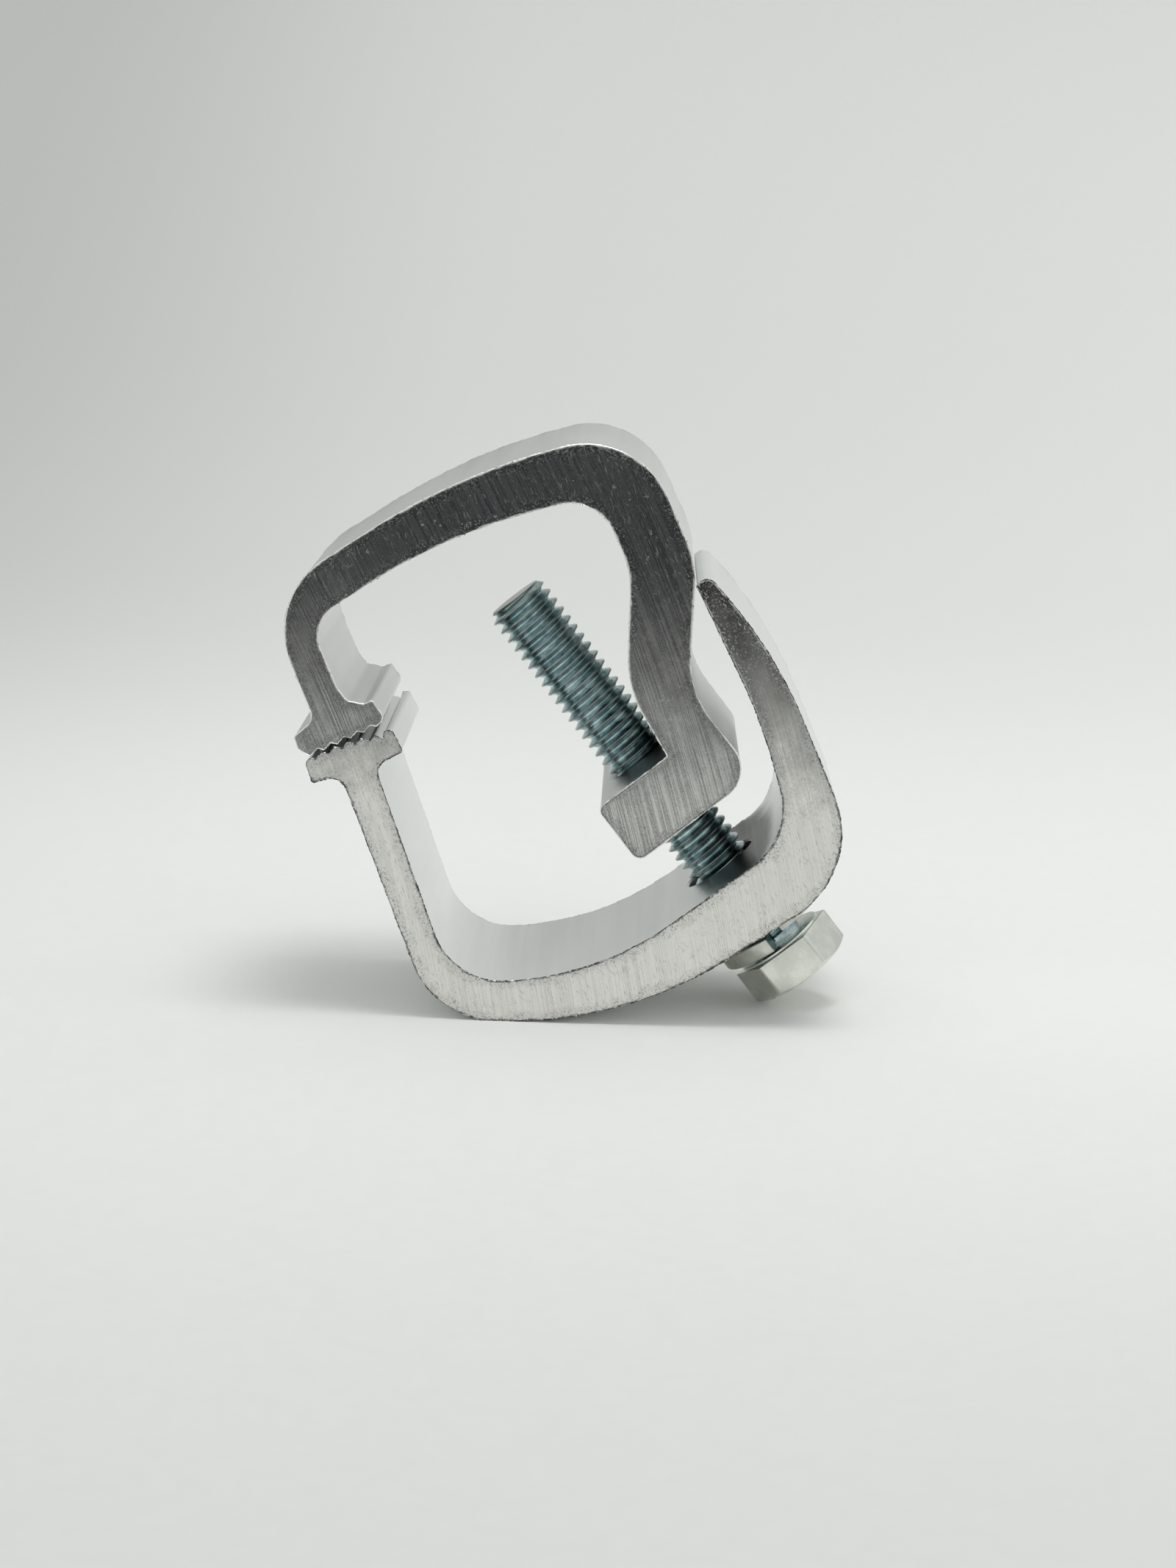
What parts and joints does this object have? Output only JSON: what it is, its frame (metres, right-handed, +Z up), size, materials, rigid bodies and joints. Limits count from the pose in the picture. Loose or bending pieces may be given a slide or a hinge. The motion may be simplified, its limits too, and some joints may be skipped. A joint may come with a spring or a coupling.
{
  "type": "rail clamp",
  "caption": "Two-jaw C-shaped rail clamp of sawn aluminium extrusions with serrated grip pads, drawn together by one hex bolt threaded into the upper jaw's foot.",
  "frame": {"origin": "centre of the bounding box's footprint, on the surface that the clamp rests on", "axes": "+Z up; +Y along the sawn length of both extrusions; +X from the grip pads towards the arm. The clamp is stored leaning as it rests: on the lower jaw's rounded heel and one corner of the bolt head"},
  "size_m": [0.08, 0.0382, 0.0812],
  "materials": {
    "lower_jaw_aluminium": "mill-finish extrusion, saw-cut ends",
    "upper_jaw_aluminium": "mill-finish extrusion, saw-cut ends",
    "zinc_plated_steel": "clear zinc plate",
    "spring_steel": "zinc plate"
  },
  "bodies": {
    "lower_jaw": {"lower_jaw": "lower_jaw_aluminium"},
    "upper_jaw": {"upper_jaw": "upper_jaw_aluminium"},
    "bolt": {"hex_bolt": "zinc_plated_steel"},
    "lock_washer": {"lock_washer": "spring_steel"}
  },
  "joints": [
    {"name": "bolt_turn", "type": "hinge", "parent": "lower_jaw", "child": "bolt", "pos_m": [0.0306, 0, 0.00903], "axis": [0.6324, 0, -0.7746], "range_deg": [0, 6120]},
    {"name": "jaw_travel", "type": "slide", "parent": "lower_jaw", "child": "upper_jaw", "axis": [-0.6324, 0, 0.7746], "range_m": [0, 0.02698]},
    {"name": "washer_spin", "type": "hinge", "parent": "lower_jaw", "child": "lock_washer", "pos_m": [0.0306, 0, 0.00903], "axis": [0.6324, 0, -0.7746], "continuous": true}
  ],
  "couplings": [
    {"joint": "bolt_turn", "follows": "jaw_travel", "rad_per_m": 3957.9}
  ]
}
